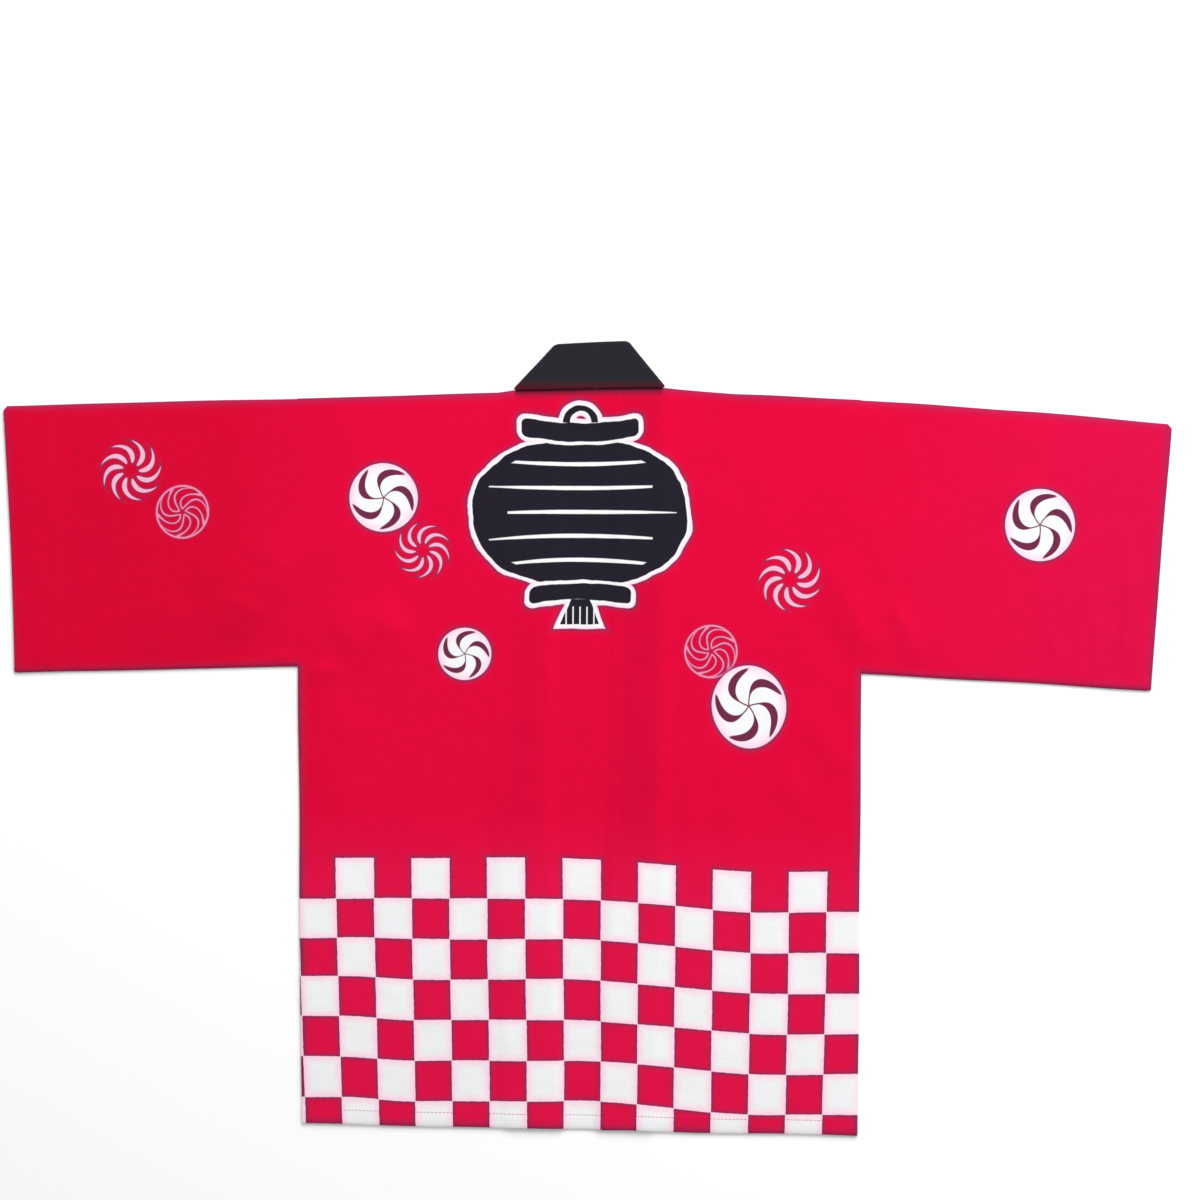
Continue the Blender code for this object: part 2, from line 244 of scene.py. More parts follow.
# Ridges and, with a height below 0, troughs. bow is how far the middle is off the straight.
Crease = namedtuple("Crease", "x0 y0 x1 y1 width height bow")
CREASES = (
    # round the left armpit
    Crease(x0=-0.3878, y0=-0.2659, x1=-0.3139, y1=-0.1589, width=0.021, height=0.0038, bow=0.004),
    Crease(x0=-0.3503, y0=-0.2912, x1=-0.2786, y1=-0.1864, width=0.016, height=-0.0020, bow=0.003),
    Crease(x0=-0.432, y0=-0.262, x1=-0.350, y1=-0.120, width=0.024, height=0.0014, bow=0.006),
    Crease(x0=-0.352, y0=-0.2975, x1=-0.318, y1=-0.2965, width=0.008, height=0.0016, bow=0.001),
    Crease(x0=-0.2642, y0=-0.2747, x1=-0.190, y1=-0.2582, width=0.026, height=0.0036, bow=-0.003),
    Crease(x0=-0.2587, y0=-0.3299, x1=-0.198, y1=-0.3409, width=0.018, height=-0.0018, bow=0.003),
    Crease(x0=-0.318, y0=-0.312, x1=-0.262, y1=-0.304, width=0.009, height=0.0014, bow=0.002),
    Crease(x0=-0.300, y0=-0.430, x1=-0.258, y1=-0.350, width=0.020, height=0.0012, bow=0.004),
    # round the right armpit
    Crease(x0=0.320, y0=-0.284, x1=0.284, y1=-0.190, width=0.018, height=0.0032, bow=-0.004),
    Crease(x0=0.302, y0=-0.318, x1=0.258, y1=-0.250, width=0.013, height=-0.0016, bow=-0.003),
    Crease(x0=0.345, y0=-0.268, x1=0.318, y1=-0.196, width=0.010, height=-0.0009, bow=0.002),
    Crease(x0=0.370, y0=-0.300, x1=0.342, y1=-0.232, width=0.014, height=0.0022, bow=0.003),
    Crease(x0=0.408, y0=-0.306, x1=0.384, y1=-0.246, width=0.012, height=0.0009, bow=0.003),
    Crease(x0=0.292, y0=-0.420, x1=0.250, y1=-0.352, width=0.018, height=0.0018, bow=0.005),
    Crease(x0=0.262, y0=-0.490, x1=0.224, y1=-0.420, width=0.017, height=0.0013, bow=0.005),
    Crease(x0=0.300, y0=-0.398, x1=0.276, y1=-0.350, width=0.012, height=-0.0008, bow=0.002),
    # down the right half of the back
    Crease(x0=0.176, y0=-0.520, x1=0.142, y1=-0.372, width=0.014, height=0.0012, bow=0.004),
    Crease(x0=0.128, y0=-0.508, x1=0.120, y1=-0.392, width=0.013, height=0.0008, bow=-0.003),
    # along the right cuff, where the hem is turned in
    Crease(x0=0.596, y0=-0.318, x1=0.606, y1=-0.176, width=0.0050, height=0.0017, bow=0.003),
    Crease(x0=0.614, y0=-0.324, x1=0.622, y1=-0.196, width=0.0042, height=0.0015, bow=-0.002),
    Crease(x0=0.582, y0=-0.322, x1=0.588, y1=-0.228, width=0.0046, height=-0.0014, bow=0.002),
    Crease(x0=0.568, y0=-0.324, x1=0.566, y1=-0.240, width=0.0060, height=0.0014, bow=0.003),
    Crease(x0=0.546, y0=-0.322, x1=0.552, y1=-0.262, width=0.0050, height=0.0010, bow=0.002),
    Crease(x0=0.604, y0=-0.150, x1=0.612, y1=-0.060, width=0.0060, height=-0.0012, bow=0.002),
    Crease(x0=0.530, y0=-0.312, x1=0.520, y1=-0.268, width=0.0070, height=0.0010, bow=0.001),
    Crease(x0=0.520, y0=-0.150, x1=0.470, y1=-0.100, width=0.022, height=0.0010, bow=0.004),
    # along the left cuff
    Crease(x0=-0.566, y0=-0.130, x1=-0.560, y1=-0.038, width=0.0060, height=-0.0007, bow=-0.002),
    Crease(x0=-0.596, y0=-0.302, x1=-0.604, y1=-0.150, width=0.0070, height=0.0007, bow=0.003),
    Crease(x0=-0.470, y0=-0.296, x1=-0.440, y1=-0.230, width=0.018, height=0.0009, bow=-0.003),
)


def creases(x, y):
    """The height that the ridges and troughs add, each a little uneven along its way."""
    height = 0
    for crease in CREASES:
        run = np.array([crease.x1 - crease.x0, crease.y1 - crease.y0])
        length = math.hypot(*run)
        away_x, away_y = x - crease.x0, y - crease.y0
        along = (away_x * run[0] + away_y * run[1]) / length**2
        across = (away_x * run[1] - away_y * run[0]) / length
        across = across - crease.bow * 4 * along * (1 - along)
        ends = ease((along + 0.2) / 0.5) * ease((1.2 - along) / 0.5)
        height = height + crease.height * np.exp(-((across / crease.width) ** 2)) * ends
    return height * (1 + 0.22 * waves(x, y, 0.045, 3))


def over_layers(x, y):
    """The upper layer's top where it just lies on what is below it."""
    left_seam, right_seam = collar_seam(LEFT, y), collar_seam(RIGHT, y)
    side = np.where(x < (left_seam + right_seam) / 2, LEFT, RIGHT)
    seam = np.where(side == LEFT, left_seam, right_seam)
    inwards = side * (seam - x)
    onto_band = ease((inwards + BAND_SLOPE) / BAND_SLOPE)
    off_band = ease((inwards - COLLAR_WIDTH) / BAND_SLOPE)
    level = mix(mix(ON_FRONT, ON_COLLAR, onto_band), GROUND_AIR, off_band)
    near_neck = ease(1 - (top_edge(x) - y) / NECK_LIFT) * ease(1 + inwards / BAND_SLOPE)
    return mix(level, ON_COLLAR, near_neck) + SOLID_WALL


def cuff_distance(x, y):
    """How far points of the plan are from the nearer cuff's edge; far away off the sleeves."""
    nearest = np.full(np.shape(x), BODY_WIDTH)
    for side in SIDES:
        foot, top = cuff_foot(side), cuff_top(side)
        along = (top - foot) / SLEEVE_HEIGHT
        gap = side * ((foot[0] - x) * along[1] - (foot[1] - y) * along[0])
        nearest = np.minimum(nearest, np.where(x * side > 0, np.abs(gap), BODY_WIDTH))
    return nearest


def turned_in(x, y):
    """1 where the upper layer is doubled by a hem turned in at a cuff or at the foot."""
    at_cuff = ease((CUFF_HEM - cuff_distance(x, y)) / HEM_STEP)
    at_foot = ease((BODY_HEM - (y - hem_edge(x))) / HEM_STEP)
    return np.maximum(at_cuff, at_foot)


def upper(x, y):
    """z of the top of the coat's upper layer: the back and the sleeves' upper halves."""
    rim = edge_distance(x, y)
    lie = LONG_LIE * waves(x, y, 0.21, 5) + SHORT_LIE * waves(x, y, 0.062, 8)
    crumple = CRUMPLE * waves(x, y, 0.019, 11, 11)
    loose = (creases(x, y) + lie + crumple) * ease(rim / HELD_FLAT)
    loose = np.where(loose < 0, DEEPEST * np.tanh(loose / DEEPEST), loose)
    close = np.clip(1 - rim / EDGE_SOFT, 0, 1)
    drop = EDGE_DROP * (1 - np.sqrt(1 - close**2))
    return LIFT + over_layers(x, y) + loose - drop + HEM_RISE * turned_in(x, y)


SHIFT = 0.0008  # how far cloth lies off its straight cut
CUFF_SHIFT, CUFF_BOW = 0.0012, 0.0030  # the left cuff lies a little inwards, and most in its middle


def settle(x, y):
    """How cloth that was cut straight lies a little off, in the plan."""
    down = np.clip((top_edge(x) - y) / SLEEVE_HEIGHT, 0, 1)
    left_cuff = (CUFF_SHIFT + CUFF_BOW * 4 * down * (1 - down)) * ease((-0.50 - x) / 0.14)
    return SHIFT * waves(x, y, 0.20, 21) + left_cuff, SHIFT * waves(x, y, 0.20, 22)


def on_print(x, y):
    """The place on the cut cloth of a point of the plan.

    Lower down, the right half droops, the left side lies a little higher and the print
    draws in with the body.
    """
    droop = 0.0155 * ease((x + 0.018) / 0.235) * ease((-0.36 - y) / 0.13)
    droop = droop - 0.0045 * ease((-0.18 - x) / 0.08) * ease((-0.55 - y) / 0.12)
    draw_in = 0.016 * np.clip((-0.50 - y) / 0.175, 0, 1.8)
    return np.stack([x + (x - 0.020) * draw_in, y + droop], axis=-1)


# ---- Making meshes --------------------------------------------------------------------------


def quads(rows, columns, first=0, round_rows=False, round_columns=False):
    """Corner numbers of a grid's cells; a round way goes on from its end to its start."""
    down = np.arange(rows if round_rows else rows - 1)
    right = np.arange(columns if round_columns else columns - 1)
    i, j = np.meshgrid(down, right, indexing="ij")
    i2, j2 = (i + 1) % rows, (j + 1) % columns
    cells = np.stack([i * columns + j, i * columns + j2, i2 * columns + j2, i2 * columns + j], -1)
    return cells.reshape(-1, 4) + first


def add_mesh(name, points, faces, cut, material):
    """A smooth mesh object that rides on the coat, with its place on the cut cloth."""
    mesh = bpy.data.meshes.new(name)
    mesh.from_pydata(points.tolist(), [], faces)
    corners = np.empty(len(mesh.loops), dtype=np.int64)
    mesh.loops.foreach_get("vertex_index", corners)
    layer = mesh.uv_layers.new(name="cut")
    layer.data.foreach_set("uv", cut[corners].astype(np.float32).ravel())
    mesh.shade_smooth()
    mesh.materials.append(material)
    made = bpy.data.objects.new(name, mesh)
    bpy.context.scene.collection.objects.link(made)
    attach(made, "root")
    return made


def add_cloth(name, points, faces, cut, material, **masks):
    """A piece of cloth, with how far each point is from the coat's outline and any masks."""
    points[:, 2] = np.maximum(points[:, 2], 0.0)
    edge = np.minimum(edge_distance(points[:, 0] - MIDDLE, points[:, 1] - NECKLINE), FAR_IN)
    made = add_mesh(name, points, faces.tolist(), cut, material)
    for label, values in {"edge": edge, **masks}.items():
        attribute = made.data.attributes.new(label, "FLOAT", "POINT")
        attribute.data.foreach_set("value", values.astype(np.float32))
    made.data.validate()
    made.data.set_sharp_from_angle(angle=math.radians(60))
    return made


def place(x, y, z):
    """Points of the plan as points of the frame, with the cloth's small shifts."""
    shift_x, shift_y = settle(x, y)
    return np.stack([x + shift_x + MIDDLE, y + shift_y + NECKLINE, z], axis=-1)


def rim_order(rows, columns):
    """Corner numbers round a grid's edge, in order."""
    top = list(range(columns))
    right = [i * columns + columns - 1 for i in range(1, rows)]
    foot = [(rows - 1) * columns + j for j in range(columns - 2, -1, -1)]
    left = [i * columns for i in range(rows - 2, 0, -1)]
    return np.array(top + right + foot + left)


def panel(name, x, y, top, material, wrong_side="lower", **masks):
    """A flat cloth with a rounded edge, from a grid of plan points and the z of its top.

    wrong_side says which face is the coat's inside. Each mask is a value for each grid point.
    """
    rows, columns = x.shape
    upper_skin = place(x, y, top).reshape(-1, 3)
    lower_skin = place(x, y, top - CLOTH).reshape(-1, 3)
    loop = rim_order(rows, columns)
    ring = upper_skin[loop]
    ahead = np.roll(ring, -1, axis=0) - np.roll(ring, 1, axis=0)
    outwards = np.stack([-ahead[:, 1], ahead[:, 0], 0 * ahead[:, 0]], -1)
    outwards /= np.linalg.norm(outwards, axis=1)[:, None]
    middle = (ring + lower_skin[loop]) / 2
    rims = []
    for turn in (45, 90, 135):
        lift, out = math.cos(math.radians(turn)), math.sin(math.radians(turn))
        rims.append(middle + CLOTH / 2 * (lift * np.array([[0, 0, 1]]) + 0.7 * out * outwards))
    count = rows * columns
    points = np.concatenate([upper_skin, lower_skin, *rims])
    faces = [quads(rows, columns)[:, ::-1], quads(rows, columns, count)]
    bands = [loop, *(2 * count + len(loop) * k + np.arange(len(loop)) for k in range(3))]
    bands.append(loop + count)
    for high, low in zip(bands, bands[1:]):
        faces.append(np.stack([high, low, np.roll(low, -1), np.roll(high, -1)], -1)[:, ::-1])
    flat = on_print(x, y).reshape(-1, 2)
    cut = np.concatenate([flat, flat, *[flat[loop]] * 3])
    inside = np.zeros(len(points))
    skins = {"upper": slice(0, count), "lower": slice(count, 2 * count)}
    inside[skins[wrong_side]] = 1
    for label, values in masks.items():
        values = values.reshape(-1)
        masks[label] = np.concatenate([values, values, *[values[loop]] * 3])
    return add_cloth(name, points, np.concatenate(faces), cut, material, inside=inside, **masks)


def steps(start, end, cell):
    """Even steps from start to end, each about a cell long."""
    count = max(2, round(abs(end - start) / cell) + 1)
    return np.linspace(start, end, count)


def guarded(values, span):
    """The same rising values with one more just inside each end, on a way span long."""
    guard = GUARD * (values[-1] - values[0]) / span
    return np.concatenate([values[:1], [values[0] + guard], values[1:-1],
                           [values[-1] - guard], values[-1:]])


def across_body(cell, stops):
    """x values across the body with one on each of the stops."""
    runs = [steps(a, b, cell)[:-1] for a, b in zip(stops, stops[1:])]
    return np.concatenate([*runs, [stops[-1]]])


# ---- The pieces -----------------------------------------------------------------------------


def dark_below(x, y):
    """How far the black collar bands just under the upper layer darken it, from 0 to 1."""
    shown = 0
    for side, share, soft in ((LEFT, 0.6, 0.014), (RIGHT, 1.0, 0.004)):
        inwards = side * (collar_seam(side, y) - x)
        shown = shown + share * ease(inwards / 0.014) * ease((COLLAR_WIDTH - inwards) / soft)
    return shown


def neck_shade(x, y):
    """Painted shade: 1 where the back's upper edge rolls in under the collar, fading out below it.
    """
    along = ease((x - NECK[LEFT][0]) / 0.004) * ease((NECK[RIGHT][0] - x) / 0.004)
    return along * np.clip(1 - (top_edge(x) - y) / 0.010, 0, 1) ** 1.3


def make_back(material):
    stops = [-BODY_WIDTH / 2, NECK[LEFT][0], NECK[RIGHT][0], BODY_WIDTH / 2]
    across = guarded(across_body(CELL, stops), BODY_WIDTH)
    down = guarded(steps(0, 1, CELL / BODY_LENGTH), BODY_LENGTH)[:, None]
    narrow = across / (BODY_WIDTH / 2)
    y = mix(top_edge(across), hem_edge(across * HEM_WIDTH / BODY_WIDTH), down)
    x = narrow * body_side(RIGHT, y)
    back = panel("back_cloth", x, y, upper(x, y), material,
                 backing=dark_below(x, y), neck=neck_shade(x, y))
    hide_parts("back")
    return back


def make_front(side, material):
    name = "front_" + SIDES[side]
    across = guarded(steps(0, 1, LOWER_CELL / FRONT_WIDTH), FRONT_WIDTH)
    down = guarded(steps(0, 1, LOWER_CELL / BODY_LENGTH), BODY_LENGTH)[:, None]
    start = mix(collar_seam(side, 0), body_side(side, 0), across)
    end = mix(side * HEM_OPENING, side * HEM_WIDTH, across) / 2
    y = mix(top_edge(start), hem_edge(end), down)
    x = mix(collar_seam(side, y), body_side(side, y), across)
    if side == LEFT:
        x, y = x[:, ::-1], y[:, ::-1]
    top = np.full(x.shape, LIFT + CLOTH)
    front = panel(name + "_cloth", x, y, top, material, wrong_side="upper")
    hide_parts(name)
    return front


ARMHOLE_GAP = 0.0001  # between a sleeve and the body's side
EDGE_TURNS = np.radians([30, 60, 90, 120, 150])  # round a sleeve's fold and its lower edge


def sleeve_edges(side):
    """A sleeve's lower edge, its fold at the shoulder and the way up between them.

    Each is a point or a direction for every step from armhole to cuff.
    """
    sleeve = SLEEVES[side]
    share = steps(0, 1, CELL / sleeve.length)
    start_x = side * (BODY_WIDTH / 2 + ARMHOLE_GAP)
    foot = mix(np.array([start_x, -sleeve.armpit]), cuff_foot(side), share[:, None])
    head_x = mix(start_x, cuff_top(side)[0], share)
    head = np.stack([head_x, top_edge(head_x)], -1)
    up = (head - foot) / np.linalg.norm(head - foot, axis=1)[:, None]
    from_cuff = (1 - share) * sleeve.length
    rounding = np.sqrt(1 - np.clip(1 - from_cuff / CUFF_CORNER, 0, 1) ** 2)
    rounding = CUFF_CORNER * (1 - rounding)
    return foot + up * (CUFF_FOOT_CORNER * rounding)[:, None], head - up * rounding[:, None], up


def bent_edge(centre, up, radius, draw_in, direction):
    """Half a turn of cloth round a sleeve's edge: its points in the plan and their z."""
    reach = (radius - draw_in)[:, None] * np.sin(EDGE_TURNS)
    heights = direction * (radius - draw_in)[:, None] * np.cos(EDGE_TURNS)
    spots = centre + direction * up[:, None] * reach[..., None]
    return spots, LIFT + radius[:, None] - heights


def sleeve_skin(foot, head, up, draw_in):
    """Rings of a sleeve's skin, draw_in under its outside, and their places on the cut cloth."""
    rise, low_rise = steps(0, 1, CELL / SLEEVE_HEIGHT), steps(0, 1, LOWER_CELL / SLEEVE_HEIGHT)
    edge_top = upper(head[:, 0], head[:, 1])
    edge_foot = upper(foot[:, 0], foot[:, 1])
    low = foot[:, None] + up[:, None] * (edge_foot / 2)[:, None, None]
    high = head[:, None] - up[:, None] * (edge_top / 2)[:, None, None]
    lower = mix(low, high, low_rise[None, :, None])
    over = mix(high, low, rise[None, :, None])
    z_lower = np.full(lower.shape[:2], LIFT + draw_in)
    z_over = upper(over[..., 0], over[..., 1]) - draw_in
    fold, z_fold = bent_edge(high, up, (edge_top - LIFT) / 2, draw_in, 1)
    under, z_under = bent_edge(low, up, (edge_foot - LIFT) / 2, draw_in, -1)
    plan = np.concatenate([lower, fold, over, under], axis=1)
    z = np.concatenate([z_lower, z_fold, z_over, z_under], axis=1)
    cut = plan.copy()
    count = lower.shape[1]
    crest = top_edge(cut[:, :count, 0])
    cut[:, :count, 1] = 2 * crest - cut[:, :count, 1]
    return place(plan[..., 0], plan[..., 1], z), cut


def double_skin(outer, inner, cut):
    """A tube of two skins, outer going out and inner coming back, open at both ends."""
    points = np.concatenate([outer, inner[::-1]])
    rings, count = points.shape[:2]
    faces = quads(rings, count, round_rows=True, round_columns=True)
    inside = np.repeat([0.0, 1.0], rings // 2 * count)
    return points, faces, np.concatenate([cut, cut[::-1]]).reshape(-1, 2), inside


def make_sleeve(side, material):
    """A flattened tube, open at armhole and cuff."""
    name = "sleeve_" + SIDES[side]
    edges = sleeve_edges(side)
    outer, cut = sleeve_skin(*edges, 0)
    inner, _ = sleeve_skin(*edges, CLOTH)
    points, faces, cut, inside = double_skin(outer, inner, cut)
    if side == LEFT:
        faces = faces[:, ::-1]
    made = add_cloth(name + "_cloth", points.reshape(-1, 3), faces, cut, material, inside=inside)
    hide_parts(name)
    return made


COLLAR_CELL = 0.006  # the collar's mesh
TURN_STEP, NECK_SPAN_STEP = 0.09, 0.04  # rows before a slanting fold, and between the two
FOLD_ROWS = 11  # rows round each slanting fold
RISING_ROWS = 14  # the last rows of each half, where the strip rises from the ground
SEAM_GAP = 0.0003  # between the strip and the front's edge
SKIN_GAP = 0.0001  # keeps the strip's faces clear of what they lie on
TURN_IN = 0.0028  # how far in from the neck's corner a slanting fold starts
STRIP_UNEVEN = 0.00012  # the height of its small bumps
ROUNDED_SHARE = 0.045  # the share of the strip's width that is rounded at each edge
ACROSS_STRIP = np.array([0, 0.012, 0.04, *np.linspace(0.1, 0.9, 9).round(1), 0.96, 0.988, 1])


def collar_half(side):
    """The middle of the strip from a front hem to past the slanting fold.

    Rows of (point on the seam edge, point on the free edge), in the plan.
    """
    half_wall = COLLAR_WALL / 2
    low, high = half_wall + SKIN_GAP, ON_COLLAR + half_wall
    bend = (high - low) / 2
    corner = NECK[side]
    turn = COLLAR_TURN[side]
    turn_foot = np.array([corner[0] - side * TURN_IN, corner[1] + SEAM_GAP, low])
    lean = COLLAR_WIDTH / math.tan(turn)
    turn_head = turn_foot + np.array([-side * lean, COLLAR_WIDTH, 0])
    rows = []
    for y in steps(hem_edge(side * HEM_OPENING / 2), -COLLAR_SPREAD, COLLAR_CELL):
        seam = np.array([collar_seam(side, y) - side * SEAM_GAP, y, low])
        rows.append((seam, seam - np.array([side * COLLAR_WIDTH, 0, 0])))
    last = rows[-1]
    for share in steps(0, 1, TURN_STEP)[1:-1]:
        rows.append((mix(last[0], turn_foot, share), mix(last[1], turn_head, share)))
    for over in np.linspace(0, math.pi, FOLD_ROWS):
        bulge = side * bend * math.sin(over) / math.sin(turn)
        step = np.array([bulge, 0, bend * (1 - math.cos(over))])
        trim = np.array([0, half_wall * math.sin(over) * math.cos(turn), 0])
        rows.append((turn_foot + step + trim, turn_head + step - trim))
    return rows


def collar_rows():
    """The whole strip's seam edge and free edge, its faces' direction and how far on each row is."""
    left, right = collar_half(LEFT), collar_half(RIGHT)
    span = steps(0, 1, NECK_SPAN_STEP)[1:-1]
    rows = left + [tuple(mix(a, b, s) for a, b in zip(left[-1], right[-1])) for s in span]
    rows = np.array(rows + right[::-1])
    seam, free = rows[:, 0], rows[:, 1]
    middle = (seam + free) / 2
    normal = np.cross(np.gradient(middle, axis=0), free - seam)
    normal /= np.linalg.norm(normal, axis=1)[:, None]
    lengths = np.linalg.norm(np.diff(middle, axis=0), axis=1)
    flat = np.arange(len(rows)) < len(left) - RISING_ROWS
    return seam, free, normal, np.concatenate([[0], np.cumsum(lengths)]), flat | flat[::-1]


def round_strip(seam, free, normal, half):
    """Rings round the strip: their points, their shares of its width and their heights in it."""
    from_edge = np.minimum(ACROSS_STRIP, 1 - ACROSS_STRIP) / ROUNDED_SHARE
    round_off = np.sqrt(np.clip(1 - (1 - from_edge) ** 2, 0.03, 1))
    round_off = np.where(from_edge > 1, 1, round_off)
    share = np.concatenate([ACROSS_STRIP, ACROSS_STRIP[-2:0:-1]])
    height = np.concatenate([round_off, -round_off[-2:0:-1]]) * half
    drawn = 0.5 + (share - 0.5) * (1 - 2 * (COLLAR_WALL / 2 - half) / COLLAR_WIDTH)
    spine = mix(seam[:, None], free[:, None], drawn[None, :, None])
    return spine + normal[:, None] * height[None, :, None], drawn, height


def make_collar(material):
    """One strip folded double, modelled as the flattened tube that it is."""
    seam, free, normal, run, flat = collar_rows()
    outer, share, height = round_strip(seam, free, normal, COLLAR_WALL / 2 - SKIN_GAP)
    inner, _, _ = round_strip(seam, free, normal, COLLAR_WALL / 2 - SKIN_GAP - CLOTH)
    uneven = STRIP_UNEVEN * waves(outer[..., 0], outer[..., 1], 0.03, 31)
    shape = normal[:, None] * (uneven * np.sign(height) * (np.abs(height) > 0.001))[..., None]
    on_ground = (height < 0)[None, :] & flat[:, None]
    outer = outer + shape * ~on_ground[..., None]
    back_of_strip = np.arange(len(share)) >= len(ACROSS_STRIP)
    flat_x = (share + back_of_strip * 0.5) * COLLAR_WIDTH
    cut = np.stack([np.broadcast_to(flat_x, outer.shape[:2]), run[:, None] + 0 * flat_x], -1)
    points, faces, cut, inside = double_skin(outer, inner, cut)
    spots = place(points[..., 0], points[..., 1], points[..., 2]).reshape(-1, 3)
    # darker red on the collar's upper face at the neckline, fading to nothing 12 mm above it
    stain = np.clip(1 - points[..., 1] / 0.012, 0, 1) * (points[..., 1] > -0.02)
    stain = stain * (points[..., 2] > ON_COLLAR + COLLAR_WALL / 2)
    made = add_cloth("collar_cloth", spots, faces, cut, material, inside=inside,
                     stain=stain.reshape(-1))
    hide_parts("collar")
    return made, run[-1]


# ---- Stitches -------------------------------------------------------------------------------

STITCH_STEP = 0.0042
STITCH_LENGTH = 0.0029
STITCH_RADIUS = 0.0002
STITCH_SIDES = 6
CUFF_ROW, HEM_ROW = 0.94, 0.86  # how far up the cuffs' and the feet's hems their stitches run
NECK_ROW = 0.0035  # how far below the neckline its row is


def stitched_line(start, end, height):
    """Centres and directions of the stitches on a straight run of the plan, and their z."""
    start, end = np.array(start), np.array(end)
    run = end - start
    length = math.hypot(*run)
    count = int(length / STITCH_STEP)
    share = (np.arange(count) + 0.5) / count
    centres = start + share[:, None] * run
    z = np.full(count, height) if np.isscalar(height) else height(centres[:, 0], centres[:, 1])
    return place(centres[:, 0], centres[:, 1], z), np.broadcast_to(run / length, (count, 2))


def add_stitches(name, lines, material):
    """One mesh of many stitches: each is a six-sided spindle that lies along its seam."""
    centres = np.concatenate([line[0] for line in lines])
    ways = np.concatenate([line[1] for line in lines])
    along = np.array([-0.5, -0.36, 0.0, 0.36, 0.5]) * STITCH_LENGTH
    girth = np.array([0.15, 0.8, 1.0, 0.8, 0.15]) * STITCH_RADIUS
    turn = np.arange(STITCH_SIDES) * math.tau / STITCH_SIDES
    sideways = np.outer(girth, np.cos(turn)).ravel()
    upwards = np.outer(girth, np.sin(turn)).ravel()
    forwards = np.repeat(along, STITCH_SIDES)
    draw = np.random.default_rng(41)
    angle = draw.normal(0, 0.05, len(centres))[:, None]
    way_x = ways[:, :1] * np.cos(angle) - ways[:, 1:] * np.sin(angle)
    way_y = ways[:, :1] * np.sin(angle) + ways[:, 1:] * np.cos(angle)
    x = centres[:, :1] + way_x * forwards - way_y * sideways
    y = centres[:, 1:2] + way_y * forwards + way_x * sideways
    z = centres[:, 2:] + upwards + 0 * x
    points = np.stack([x, y, z], -1)
    rings = len(along)
    skin = quads(rings, STITCH_SIDES, round_columns=True)[:, ::-1].tolist()
    skin += [list(range(STITCH_SIDES))]
    skin += [[(rings - 1) * STITCH_SIDES + k for k in range(STITCH_SIDES)][::-1]]
    size = rings * STITCH_SIDES
    faces = [[corner + k * size for corner in face] for k in range(len(centres)) for face in skin]
    thread_run = forwards[None, :] + STITCH_STEP * np.arange(len(centres))[:, None]
    round_thread = np.tile(turn / math.tau, rings)[None, :] + 0 * thread_run
    cut = np.stack([thread_run, round_thread], -1).reshape(-1, 2)
    made = add_mesh(name, points.reshape(-1, 3), faces, cut, material)
    return made


def on_top(x, y):
    return upper(x, y) + STITCH_RADIUS * 0.3


def cuff_stitches(side, material):
    """The row that holds the hem turned in at a cuff, through both halves of the sleeve."""
    foot, top = cuff_foot(side), cuff_top(side)
    up = (top - foot) / SLEEVE_HEIGHT
    shift = -CUFF_ROW * CUFF_HEM * np.array([side * up[1], -side * up[0]])
    start, end = foot + shift + up * 0.006, top + shift - up * 0.010
    lines = [stitched_line(start, end, on_top), stitched_line(start, end, LIFT)]
    return add_stitches("cuff_stitches_" + SIDES[side], lines, material)


def hem_stitches(material):
    """The rows along the feet of the back and the fronts, and at the back's neckline."""
    outer = HEM_WIDTH / 2 - 0.003
    inner = HEM_OPENING / 2 + 0.004

    def above_hem(x):
        return x, hem_edge(x) + BODY_HEM * HEM_ROW

    lines = [stitched_line(above_hem(-outer), above_hem(outer), on_top)]
    for side in SIDES:
        lines.append(stitched_line(above_hem(side * inner), above_hem(side * outer), LIFT))
    ends = [(NECK[side][0] - side * 0.004, NECK[side][1] - NECK_ROW) for side in SIDES]
    lines.append(stitched_line(*ends, on_top))
    return add_stitches("hem_stitches", lines, material)


def collar_stitches(material):
    """Rows along both edges of the collar's two bands, on the side that faces the ground."""
    lines = []
    for side in SIDES:
        foot, head = hem_edge(side * HEM_OPENING / 2) + 0.006, -COLLAR_SPREAD
        levels = steps(foot, head, 0.05)
        for inwards in (0.0028, COLLAR_WIDTH - 0.0032):
            spots = [(collar_seam(side, y) - side * inwards, y) for y in levels]
            for start, end in zip(spots, spots[1:]):
                lines.append(stitched_line(start, end, LIFT))
    return add_stitches("collar_stitches", lines, material)


# ---- Shader trees ---------------------------------------------------------------------------


